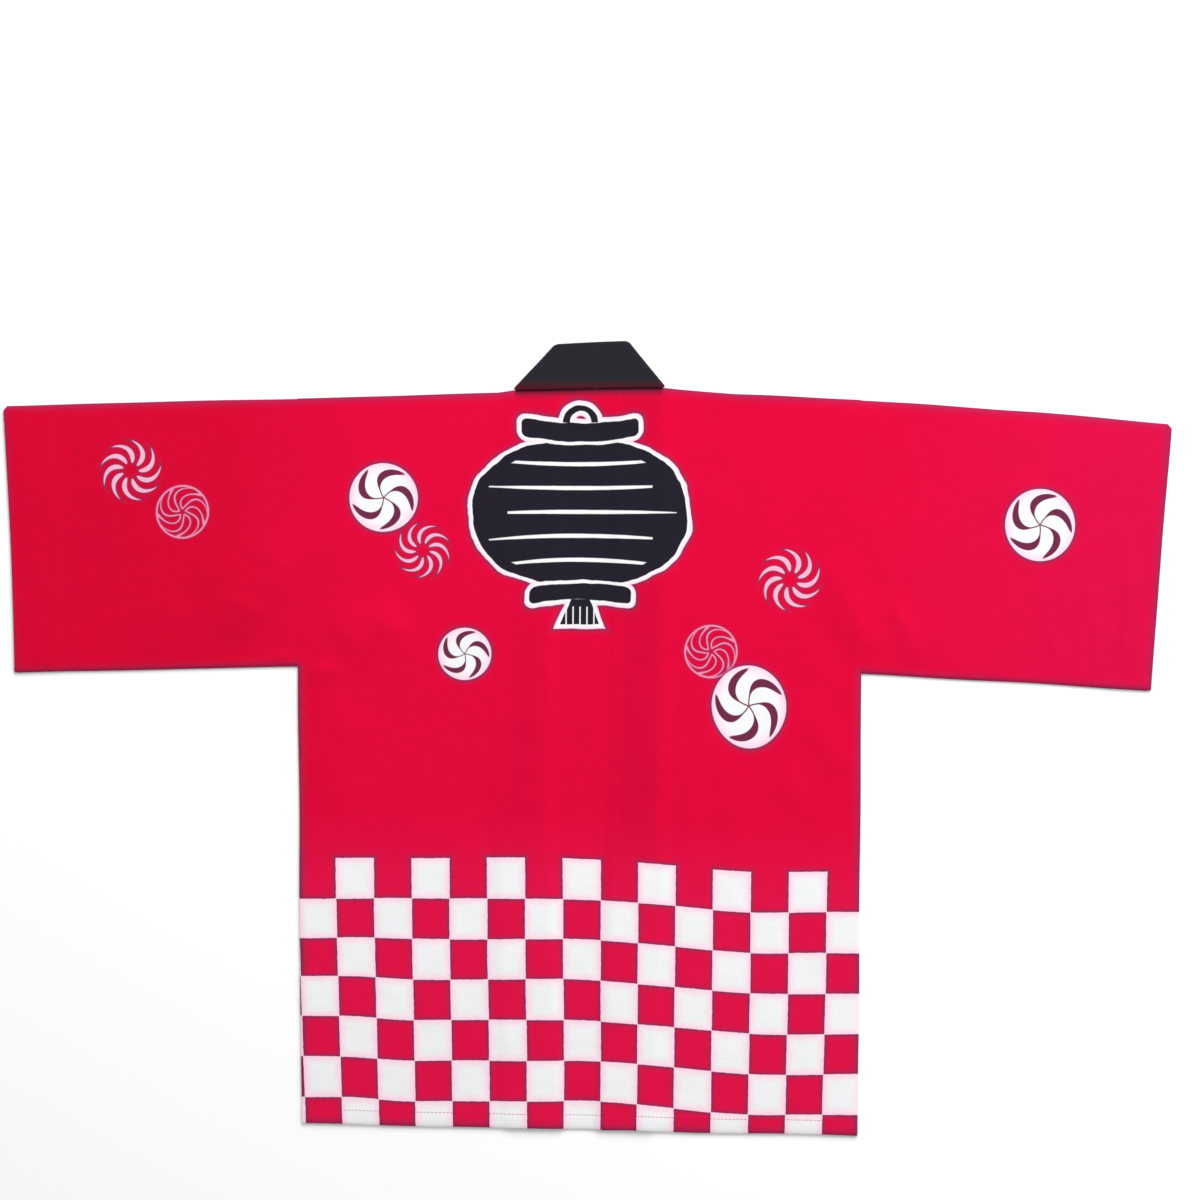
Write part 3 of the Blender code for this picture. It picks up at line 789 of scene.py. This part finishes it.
class Field:
    """A number that changes over the cloth. Sums of Fields become Math nodes."""

    def __init__(self, tree, socket):
        self.tree, self.socket = tree, socket

    def math(self, operation, *others, clamp=False):
        node = self.tree.nodes.new("ShaderNodeMath")
        node.operation, node.use_clamp = operation, clamp
        for value, socket in zip((self, *others), node.inputs):
            if isinstance(value, Field):
                self.tree.links.new(value.socket, socket)
            else:
                socket.default_value = value
        return Field(self.tree, node.outputs[0])

    def __add__(self, other):
        return self.math("ADD", other)

    def __sub__(self, other):
        return self.math("SUBTRACT", other)

    def __rsub__(self, other):
        return self.math("MULTIPLY", -1).math("ADD", other)

    def __mul__(self, other):
        return self.math("MULTIPLY", other)

    def __truediv__(self, other):
        return self.math("DIVIDE", other)

    def __abs__(self):
        return self.math("ABSOLUTE")

    def smaller(self, other):
        return self.math("MINIMUM", other)

    def larger(self, other):
        return self.math("MAXIMUM", other)

    def clamped(self):
        return self.math("ADD", 0.0, clamp=True)

    def centred(self):
        """The part of a cell count past the nearest whole number, from -0.5 to 0.5."""
        return self - (self + 0.5).math("FLOOR")


def length_of(a, b):
    return (a * a + b * b).math("SQRT")


def within(distance, blur=0.0007):
    """1 where a signed distance is below 0, with a printed edge's softness."""
    return (distance / (-blur) + 0.5).clamped()


def from_arms(angle, arms, slope, reach):
    """How far points are from the nearest of some hooked lines round a middle.

    slope is how fast the lines turn aside on their way out.
    """
    upright = (slope * slope + 1.0).math("POWER", -0.5)
    return abs((angle * arms / math.tau).centred()) * reach * upright * math.tau / arms


def node_group(name, inputs, outputs):
    """A new shader group: (group, its inputs as sockets inside, its outputs as sockets inside)."""
    tree = bpy.data.node_groups.new(name, "ShaderNodeTree")
    for label, default in inputs.items():
        kind = "NodeSocketFloat"
        if isinstance(default, tuple):
            kind = "NodeSocketVector" if len(default) == 3 else "NodeSocketColor"
        socket = tree.interface.new_socket(name=label, in_out="INPUT", socket_type=kind)
        socket.default_value = default
    for label, kind in outputs.items():
        tree.interface.new_socket(name=label, in_out="OUTPUT", socket_type="NodeSocket" + kind)
    entry, leave = tree.nodes.new("NodeGroupInput"), tree.nodes.new("NodeGroupOutput")
    return tree, entry.outputs, leave.inputs


def parts_of(tree, vector_socket):
    """The x and y of a vector as Fields."""
    node = tree.nodes.new("ShaderNodeSeparateXYZ")
    tree.links.new(vector_socket, node.inputs[0])
    return Field(tree, node.outputs[0]), Field(tree, node.outputs[1])


def put_out(tree, field, socket):
    tree.links.new(field.socket, socket)


def mixed(tree, a, b, share):
    """A colour between two, each a socket or a plain colour."""
    node = tree.nodes.new("ShaderNodeMix")
    node.data_type = "RGBA"
    for value, socket in ((share, node.inputs[0]), (a, node.inputs[6]), (b, node.inputs[7])):
        if isinstance(value, Field):
            tree.links.new(value.socket, socket)
        elif isinstance(value, bpy.types.NodeSocket):
            tree.links.new(value, socket)
        else:
            socket.default_value = value
    return node.outputs[2]


def noise(tree, vector_socket, scale, detail=2.0, stretch=None):
    """Smooth noise about 0, from about -0.5 to 0.5, over the cut cloth."""
    if stretch:
        node = tree.nodes.new("ShaderNodeVectorMath")
        node.operation = "MULTIPLY"
        node.inputs[1].default_value = stretch
        tree.links.new(vector_socket, node.inputs[0])
        vector_socket = node.outputs[0]
    node = tree.nodes.new("ShaderNodeTexNoise")
    node.inputs["Scale"].default_value = scale
    node.inputs["Detail"].default_value = detail
    tree.links.new(vector_socket, node.inputs["Vector"])
    return Field(tree, node.outputs[0]) - 0.5


def weave_group():
    """Plain weave: threads over and under each other, thicker and thinner along their length."""
    tree, given, result = node_group(
        "Cotton weave",
        {"Cut": (0.0, 0.0, 0.0), "Thread": 0.0007, "Slub": 0.5},
        {"Height": "Float", "Tone": "Float"},
    )
    thread, slub = Field(tree, given["Thread"]), Field(tree, given["Slub"])
    u, v = parts_of(tree, given["Cut"])
    fat_warp = noise(tree, given["Cut"], 40.0, 3.0, (24.0, 1.0, 1.0))
    fat_weft = noise(tree, given["Cut"], 40.0, 3.0, (1.0, 24.0, 1.0))
    across, down = u / thread, v / thread
    warp = abs((across * math.pi).math("SINE"))
    weft = abs((down * math.pi).math("SINE"))
    parity = ((across.math("FLOOR") + down.math("FLOOR")) / 2).centred()
    over = (abs(parity) * 4).clamped()
    woven = warp * (over * 0.7 + 0.3) + weft * (over * (-0.7) + 1.0)
    uneven = (fat_warp + fat_weft) * slub
    put_out(tree, woven * 0.5 + uneven * 0.6, result["Height"])
    put_out(tree, uneven * 0.16 + (woven - 0.8) * 0.035 + 1.0, result["Tone"])
    return tree


def edge_group():
    """What a printed edge does: the dye gathers outside it and bleeds a little inside it.

    Distance is how far a point is outside the edge, and below 0 inside it.
    """
    tree, given, result = node_group(
        "Printed edge",
        {"Distance": 0.0, "Rim Width": 0.0095, "Bleed Width": 0.011},
        {"Print": "Float", "Rim": "Float", "Bleed": "Float"},
    )
    distance = Field(tree, given["Distance"])
    out = (1.0 - distance.larger(0.0) / Field(tree, given["Rim Width"])).larger(0.0)
    inwards = (distance.smaller(0.0) / Field(tree, given["Bleed Width"]) + 1.0).larger(0.0)
    put_out(tree, within(distance), result["Print"])
    put_out(tree, out.math("POWER", 2.9), result["Rim"])
    put_out(tree, inwards.math("POWER", 1.6), result["Bleed"])
    return tree


def checker_group():
    """The checks above the hem: two sets of white blocks, each offset from the other."""
    tree, given, result = node_group(
        "Checked hem",
        {"Cut": (0.0, 0.0, 0.0), "Top": -0.515, "Centre": 0.0, "Wide": 0.042, "High": 0.045,
         "Bleed": 0.001},
        {"Distance": "Float"},
    )
    wide, high = Field(tree, given["Wide"]), Field(tree, given["High"])
    top, bleed = Field(tree, given["Top"]), Field(tree, given["Bleed"])
    u, v = parts_of(tree, given["Cut"])
    wobble = noise(tree, given["Cut"], 160.0, 2.0) * 0.0011
    column = (u - Field(tree, given["Centre"]) + wobble) / (wide * 2)
    row = (top - v + wobble) / (high * 2) - 0.25
    sets = []
    for shift, first_row in ((0.0, 0.5), (0.5, -0.5)):
        across = abs((column + shift).centred()) * 2 * wide - wide * 0.5
        down = abs((row + shift).centred()) * 2 * high - high * 0.5
        block = across.larger(down) - bleed
        sets.append(block.larger(v - top - high * first_row))
    put_out(tree, sets[0].smaller(sets[1]), result["Distance"])
    return tree


def whirl_group():
    """A round badge with hooked slits that whirl round its middle."""
    tree, given, result = node_group(
        "Whirl badge",
        {"Cut": (0.0, 0.0, 0.0), "X": 0.0, "Y": 0.0, "Radius": 0.03, "Squash": 1.0, "Tilt": 0.0,
         "Arms": 5.0},
        {"Disc": "Float", "Slits": "Float", "Lines": "Float"},
    )
    u, v = parts_of(tree, given["Cut"])
    radius, arms = Field(tree, given["Radius"]), Field(tree, given["Arms"])
    across = u - Field(tree, given["X"])
    down = (v - Field(tree, given["Y"])) / Field(tree, given["Squash"])
    reach = length_of(across, down)
    share = reach / radius
    cube = share * share * share
    hook, lean = 1.1, 0.4
    angle = down.math("ARCTAN2", across) + Field(tree, given["Tilt"]) + cube * hook + share * lean
    arm = from_arms(angle, arms, cube * (3 * hook) + share * lean, reach)
    along = ((share - 0.22) / 0.72).clamped()
    wedge = along * along * (1.0 - along) * 6.75  # rises to 1 at two thirds of the way
    wide = (wedge * 0.105 + (1.0 - along) * 0.018) * radius
    put_out(tree, reach - radius, result["Disc"])
    put_out(tree, (arm - wide).larger(reach - radius * 0.94), result["Slits"])
    from_ring = reach - radius * 0.955
    ring = abs(from_ring) - 0.0010
    blade = abs(arm - wide - radius * 0.05) - 0.0008
    blade = blade.larger(from_ring).larger(radius * 0.10 - reach)
    put_out(tree, ring.smaller(blade), result["Lines"])
    return tree


def pinwheel_group():
    """Thin hooked petals round an open middle. Turn is 1, or -1 for the other hand."""
    tree, given, result = node_group(
        "Pinwheel",
        {"Cut": (0.0, 0.0, 0.0), "X": 0.0, "Y": 0.0, "Radius": 0.03, "Petals": 9.0, "Tilt": 0.0,
         "Plump": 1.0, "Turn": 1.0},
        {"Distance": "Float"},
    )
    u, v = parts_of(tree, given["Cut"])
    radius, petals = Field(tree, given["Radius"]), Field(tree, given["Petals"])
    across = (u - Field(tree, given["X"])) * Field(tree, given["Turn"])
    down = v - Field(tree, given["Y"])
    reach = length_of(across, down)
    share = reach / radius
    cube = share * share * share
    hook, middle = 0.85, 0.26
    angle = down.math("ARCTAN2", across) + Field(tree, given["Tilt"]) - cube * hook
    arm = from_arms(angle, petals, cube * (3 * hook), reach)
    along = ((share - middle) / (1 - middle)).clamped()
    body = (along.math("POWER", 0.8) * math.pi).math("SINE").larger(0.0).math("POWER", 0.7)
    wide = body * Field(tree, given["Plump"]) * radius * 0.078
    petal = (arm - wide).larger(radius * middle - reach).larger(reach - radius)
    put_out(tree, petal, result["Distance"])
    return tree


def lantern_group():
    """A paper lantern in brush strokes: a ribbed belly, a cap, a foot, a hoop and a tassel.

    Ink is the distance from its black strokes, Outline that from all of it.
    """
    tree, given, result = node_group(
        "Paper lantern",
        {"Cut": (0.0, 0.0, 0.0), "X": 0.0, "Y": 0.0, "Wide": 0.24, "High": 0.255},
        {"Ink": "Float", "Outline": "Float"},
    )
    wide, high = Field(tree, given["Wide"]), Field(tree, given["High"])
    brush = noise(tree, given["Cut"], 30.0, 1.0) * 0.0085 + noise(tree, given["Cut"], 120.0) * 0.0020
    u, v = parts_of(tree, given["Cut"])
    signed = u - Field(tree, given["X"])
    rise = v - Field(tree, given["Y"]) + signed * signed * 0.10
    across = abs(signed)

    def brushed_block(centre, half_wide, half_high, flare):
        """A stroke across, whose ends turn up by flare metres for each square metre."""
        corner_radius = 0.006
        level = rise - high * centre - across * across * flare
        out_x = across - wide * half_wide + corner_radius
        out_y = abs(level) - high * half_high + corner_radius
        corner = length_of(out_x.larger(0.0), out_y.larger(0.0))
        return corner + out_x.larger(out_y).smaller(0.0) - corner_radius

    half_high = high * 0.318
    power = 2.4  # 2 would make the belly an ellipse, and more makes it squarer
    out_x = (across / (wide * 0.5)).math("POWER", power)
    out_y = (abs(rise) / half_high).math("POWER", power)
    norm = (out_x + out_y).math("POWER", 1 / power) + 0.0001
    belly = length_of(across, rise) * (1.0 - norm.math("POWER", -1.0))
    cap = brushed_block(centre=0.352, half_wide=0.275, half_high=0.040, flare=1.6)
    foot = brushed_block(centre=-0.352, half_wide=0.240, half_high=0.036, flare=-1.4)
    over_hoop = rise - high * 0.395
    hoop = abs(length_of(across, over_hoop) - high * 0.064) - high * 0.015
    hoop = hoop.larger(over_hoop * -1)
    fall = high * (-0.385) - rise
    fringe = (across - 0.010 - fall * 0.42).larger(fall * -1).larger(fall - high * 0.112)
    shape = cap.smaller(foot).smaller(hoop).smaller(fringe) + brush * 0.6
    belly = belly + brush
    gap = (cap.smaller(foot) + brush * 0.6 - 0.0036) * -1
    bulge = (signed / wide) * (signed / wide) * 0.55
    ribs = 6
    turns = rise / (half_high * 2) * (1.0 - bulge) * ribs
    parity = abs(((turns + 0.5).math("FLOOR") * 0.5).centred()) * 4 - 1
    taper = (1.0 - (across / (wide * 0.5)) * (across / (wide * 0.5))).larger(0.0)
    rib = abs(turns.centred()) * half_high * (2 / ribs) - taper * 0.0023 + abs(brush) * 0.12
    rib = rib.larger(signed * parity - wide * 0.34).larger(belly + 0.012)
    gaps = 130  # between the tassel's strands, for each metre
    strands = abs((signed * gaps).centred()) * (1 / gaps) - 0.0007
    strands = strands.larger(high * 0.035 - fall)
    ink = shape.smaller(belly.larger(gap)).larger(rib * -1).larger(strands * -1)
    put_out(tree, ink, result["Ink"])
    put_out(tree, shape.smaller(belly), result["Outline"])
    return tree


WEAVE = weave_group()
EDGE = edge_group()
CHECKER = checker_group()
WHIRL = whirl_group()
PINWHEEL = pinwheel_group()
LANTERN = lantern_group()


def use_group(tree, group, cut=None, **values):
    """Places a group in a material and sets or links its named inputs."""
    node = tree.nodes.new("ShaderNodeGroup")
    node.node_tree = group
    if cut:
        tree.links.new(cut, node.inputs["Cut"])
    for label, value in values.items():
        socket = node.inputs[label.replace("_", " ").title()]
        if isinstance(value, Field):
            tree.links.new(value.socket, socket)
        else:
            socket.default_value = value
    return {socket.name: Field(tree, socket) for socket in node.outputs}


def new_cotton(name):
    """(material, its tree, its Principled shader, the cut cloth's coordinates)."""
    material = bpy.data.materials.new(name)
    material.use_nodes = True
    tree = material.node_tree
    shader = tree.nodes["Principled BSDF"]
    shader.inputs["Metallic"].default_value = 0
    place_on_cut = tree.nodes.new("ShaderNodeUVMap")
    place_on_cut.uv_map = "cut"
    return material, tree, shader, place_on_cut.outputs[0]


def attribute(tree, name):
    node = tree.nodes.new("ShaderNodeAttribute")
    node.attribute_name = name
    return Field(tree, node.outputs["Fac"])


def cloth_surface(tree, shader, cut, woven, bump, roughness):
    """Roughness and relief that every cotton shares: its weave, and crumples too fine to model."""
    crumple = noise(tree, cut, 26.0, 4.0)
    height = woven["Height"] * 0.00012 + crumple * 0.0011
    node = tree.nodes.new("ShaderNodeBump")
    node.inputs["Strength"].default_value = bump
    node.inputs["Distance"].default_value = 1.0
    tree.links.new(height.socket, node.inputs["Height"])
    tree.links.new(node.outputs[0], shader.inputs["Normal"])
    rough = noise(tree, cut, 300.0, 2.0) * 0.10 + woven["Height"] * (-0.05) + roughness
    put_out(tree, rough.clamped(), shader.inputs["Roughness"])
    shader.inputs["Specular IOR Level"].default_value = 0.04
    shader.inputs["Sheen Weight"].default_value = 0.02
    shader.inputs["Sheen Roughness"].default_value = 0.5


def toned(tree, colour, tone, shader):
    """Sends a colour to the shader, lighter and darker with the threads."""
    node = tree.nodes.new("ShaderNodeVectorMath")
    node.operation = "SCALE"
    tree.links.new(colour, node.inputs[0])
    tree.links.new(tone.socket, node.inputs["Scale"])
    tree.links.new(node.outputs[0], shader.inputs["Base Color"])


def print_over(tree, ground, distance, ink, ink_edge, rim, **widths):
    """Prints a shape over a ground colour. rim is how strongly the ground darkens round it."""
    edge = use_group(tree, EDGE, distance=distance, **widths)
    ground = mixed(tree, ground, PRINT_RIM_AND_EDGE_SHADE, edge["Rim"] * rim)
    printed = mixed(tree, ink, ink_edge, edge["Bleed"])
    return mixed(tree, ground, printed, edge["Print"])


Whirl = namedtuple("Whirl", "x y radius tilt squash", defaults=[1.0])
DrawnWhirl = namedtuple("DrawnWhirl", "x y radius tilt")
Pinwheel = namedtuple("Pinwheel", "x y radius tilt turn plump", defaults=[1.0])
Lantern = namedtuple("Lantern", "x y wide high")
OUTLINE_WIDTH = 0.0052  # the white line round the lantern


def print_whirl(tree, ground, badge):
    disc = print_over(tree, ground, badge["Disc"], WHITE, WHITE_EDGE, 1.0, bleed_width=0.014)
    return mixed(tree, disc, SLIT, within(badge["Slits"]))


def print_drawn_whirl(tree, ground, badge):
    lines = badge["Lines"]
    return print_over(tree, ground, lines, LINE_PINK, LINE_PINK, 0.8, rim_width=0.0040)


def print_pinwheel(tree, ground, wheel):
    petals = wheel["Distance"]
    return print_over(tree, ground, petals, PETAL_PINK, PETAL_PINK, 1.0, rim_width=0.0046)


def print_lantern(tree, ground, lantern):
    outline = lantern["Outline"] - OUTLINE_WIDTH
    colour = print_over(tree, ground, outline, WHITE, WHITE_EDGE, 1.0, bleed_width=0.005)
    return mixed(tree, colour, INK, within(lantern["Ink"]))


PRINTERS = {  # for each kind of figure, its shape's group and what prints it
    Whirl: (WHIRL, print_whirl),
    DrawnWhirl: (WHIRL, print_drawn_whirl),
    Pinwheel: (PINWHEEL, print_pinwheel),
    Lantern: (LANTERN, print_lantern),
}
Checks = namedtuple("Checks", "top centre wide high bleed")
CHECKS = Checks(top=-0.5152, centre=0.0022, wide=0.0418, high=0.0446, bleed=0.0002)


def printed_cotton(piece):
    """Red cotton printed with the checked hem and with the figures that fall on this piece."""
    material, tree, shader, cut = new_cotton("printed cotton, " + piece)
    u, v = parts_of(tree, cut)
    woven = use_group(tree, WEAVE, cut, thread=0.00075, slub=0.5)
    # the red is duller on the left sleeve, painted shade for the lesser light there, and pinker
    # towards the right cuff
    red = mixed(tree, RED, RED_LEFT_PAINTED_SHADE, ((u * -1 - 0.25) / 0.14).clamped())
    red = mixed(tree, red, RED_CUFF, ((u - 0.30) / 0.34).clamped())
    # what lies below shows through, and the dye is a little cloudy
    cloudy = noise(tree, cut, 9.0, 3.0) * 0.16 + noise(tree, cut, 60.0, 2.0) * 0.05
    shade = attribute(tree, "backing") * 0.16 + (cloudy + 0.04).larger(0.0)
    red = mixed(tree, red, SHOW_THROUGH, shade.clamped())
    red = mixed(tree, red, CHECK_RED, (v / (-0.08) - 5.8).clamped())
    # painted shade along the coat's outline, where the cloth turns down at its folds
    fold = (1.0 - attribute(tree, "edge") / EDGE_SHADE_WIDTH).larger(0.0).math("POWER", 2.2)
    colour = mixed(tree, red, PRINT_RIM_AND_EDGE_SHADE, fold * 0.75)
    # painted shade where the back's edge rolls in under the collar
    colour = mixed(tree, colour, NECK_SHADE, attribute(tree, "neck") * 0.9)

    checks = use_group(tree, CHECKER, cut, **CHECKS._asdict())
    colour = print_over(tree, colour, checks["Distance"], WHITE, WHITE_EDGE, 1.0)
    for figure in FIGURES[piece]:
        group, print_figure = PRINTERS[type(figure)]
        colour = print_figure(tree, colour, use_group(tree, group, cut, **figure._asdict()))
    colour = mixed(tree, colour, WRONG_SIDE, attribute(tree, "inside") * 0.22)
    toned(tree, colour, woven["Tone"], shader)
    cloth_surface(tree, shader, cut, woven, 1.0, 0.86)
    return material


def black_cotton():
    """The collar's cotton: a closer weave, with paler threads where it is rubbed."""
    material, tree, shader, cut = new_cotton("collar cotton")
    woven = use_group(tree, WEAVE, cut, thread=0.0006, slub=0.7)
    rubbed = (noise(tree, cut, 30.0, 4.0) * 1.6).clamped()
    colour = mixed(tree, BLACK, BLACK_RUBBED, rubbed * 0.35)
    colour = mixed(tree, colour, COLLAR_FOOT_RED, attribute(tree, "stain"))
    toned(tree, colour, woven["Tone"], shader)
    cloth_surface(tree, shader, cut, woven, 1.0, 0.82)
    return material


def sewing_thread(name, colour):
    """Two-ply thread: its twist is a slanting relief, and every few millimetres it pales."""
    material, tree, shader, cut = new_cotton(name)
    along, turn = parts_of(tree, cut)
    twist = ((along / 0.0005 + turn * 2) * math.tau).math("SINE")
    node = tree.nodes.new("ShaderNodeBump")
    node.inputs["Strength"].default_value = 0.6
    node.inputs["Distance"].default_value = 1.0
    tree.links.new((twist * 0.00003).socket, node.inputs["Height"])
    tree.links.new(node.outputs[0], shader.inputs["Normal"])
    worn = noise(tree, cut, 90.0, 2.0) * 0.25 + twist * 0.06 + 1.0
    rubbed = noise(tree, cut, 40.0, 2.0).larger(0.0) * 0.15
    toned(tree, mixed(tree, colour, WHITE, rubbed), worn, shader)
    put_out(tree, (noise(tree, cut, 400.0) * 0.2 + 0.55).clamped(), shader.inputs["Roughness"])
    shader.inputs["Specular IOR Level"].default_value = 0.2
    shader.inputs["Sheen Weight"].default_value = 0.05
    return material


# Where the figures fall, in the coat's plan. The sleeves' front halves are past the fold, at
# a y above 0, and the fronts have their own figures.
FIGURES = {
    "back": (
        Pinwheel(x=-0.1727, y=-0.1765, radius=0.0300, tilt=0.2, turn=-1, plump=0.85),
        Whirl(x=-0.2157, y=-0.1180, radius=0.0378, tilt=0.4),
        Whirl(x=-0.1263, y=-0.2901, radius=0.0292, tilt=0.1),
        DrawnWhirl(x=0.1451, y=-0.2879, radius=0.0300, tilt=0.6),
        Whirl(x=0.1870, y=-0.3475, radius=0.0414, tilt=0.9, squash=1.07),
        Pinwheel(x=0.2322, y=-0.2079, radius=0.0342, tilt=0.5, turn=1),
        Lantern(x=0.0006, y=-0.1335, wide=0.236, high=0.250),
    ),
    "sleeve_left": (
        Pinwheel(x=-0.4948, y=-0.0883, radius=0.0335, tilt=0.0, turn=1),
        DrawnWhirl(x=-0.4374, y=-0.1329, radius=0.0298, tilt=0.3),
        Whirl(x=-0.5010, y=0.1420, radius=0.0380, tilt=0.7),
    ),
    "sleeve_right": (
        Whirl(x=0.5080, y=-0.1478, radius=0.0383, tilt=0.2, squash=1.04),
        Pinwheel(x=0.4960, y=0.0960, radius=0.0335, tilt=0.3, turn=-1),
        DrawnWhirl(x=0.4390, y=0.1430, radius=0.0298, tilt=0.5),
    ),
    "front_left": (
        Whirl(x=-0.2160, y=-0.1420, radius=0.0378, tilt=0.2),
        Pinwheel(x=-0.1700, y=-0.2180, radius=0.0310, tilt=0.1, turn=1),
        DrawnWhirl(x=-0.2280, y=-0.3900, radius=0.0298, tilt=0.5),
    ),
    "front_right": (
        Pinwheel(x=0.2240, y=-0.1250, radius=0.0335, tilt=0.4, turn=-1),
        DrawnWhirl(x=0.1830, y=-0.2900, radius=0.0298, tilt=0.8),
        Whirl(x=0.2230, y=-0.3530, radius=0.0400, tilt=0.1),
    ),
}


# ---- Floor, light and camera ----------------------------------------------------------------


def add_floor():
    bpy.ops.mesh.primitive_plane_add(size=40, location=(0, 0, -0.0001))
    floor = bpy.context.object
    floor.name = "floor"
    material = bpy.data.materials.new("pale floor")
    material.use_nodes = True
    shader = material.node_tree.nodes["Principled BSDF"]
    shader.inputs["Base Color"].default_value = FLOOR_WHITE
    shader.inputs["Roughness"].default_value = 0.9
    shader.inputs["Specular IOR Level"].default_value = 0.1
    floor.data.materials.append(material)


Softbox = namedtuple("Softbox", "name x y z size power")
SOFTBOXES = (
    Softbox(name="key", x=0.8, y=3.2, z=2.4, size=2.4, power=160),
    Softbox(name="side", x=3.2, y=0.6, z=2.4, size=2.2, power=30),
)
DAYLIGHT = 0.50  # even light from all round


def add_softbox(box):
    lamp = bpy.data.lights.new(box.name, "AREA")
    lamp.size, lamp.energy = box.size, box.power
    made = bpy.data.objects.new(box.name, lamp)
    made.location = box.x, box.y, box.z
    made.rotation_euler = (-made.location).to_track_quat("-Z", "Y").to_euler()
    bpy.context.scene.collection.objects.link(made)


def add_lighting():
    world = bpy.data.worlds.new("studio")
    world.use_nodes = True
    world.node_tree.nodes["Background"].inputs["Color"].default_value = (1, 1, 1, 1)
    world.node_tree.nodes["Background"].inputs["Strength"].default_value = DAYLIGHT
    bpy.context.scene.world = world
    for box in SOFTBOXES:
        add_softbox(box)
    bpy.context.scene.view_settings.view_transform = "Standard"


FRAME_WIDTH = 1.3238  # what the camera sees of the ground
VIEW_X, VIEW_Y = 0.0226, -0.2306  # the view's centre, from the back's middle and neckline
LENS = 100.0
SENSOR = 36.0


def add_camera():
    camera = bpy.data.cameras.new("camera")
    camera.lens, camera.sensor_width = LENS, SENSOR
    camera.clip_start = 0.05
    made = bpy.data.objects.new("camera", camera)
    height = FRAME_WIDTH * LENS / SENSOR
    made.location = (MIDDLE + VIEW_X, NECKLINE + VIEW_Y, height)
    bpy.context.scene.collection.objects.link(made)
    bpy.context.scene.camera = made


# ---- Making the coat ------------------------------------------------------------------------

add_camera()
add_floor()
add_lighting()

back = make_back(printed_cotton("back"))
fronts = [make_front(side, printed_cotton("front_" + name)) for side, name in SIDES.items()]
sleeves = [make_sleeve(side, printed_cotton("sleeve_" + name)) for side, name in SIDES.items()]
collar, collar_length = make_collar(black_cotton())
red_thread = sewing_thread("red thread", RED_THREAD)
for side in SIDES:
    cuff_stitches(side, red_thread)
hem_stitches(red_thread)
collar_stitches(sewing_thread("black thread", BLACK_THREAD))
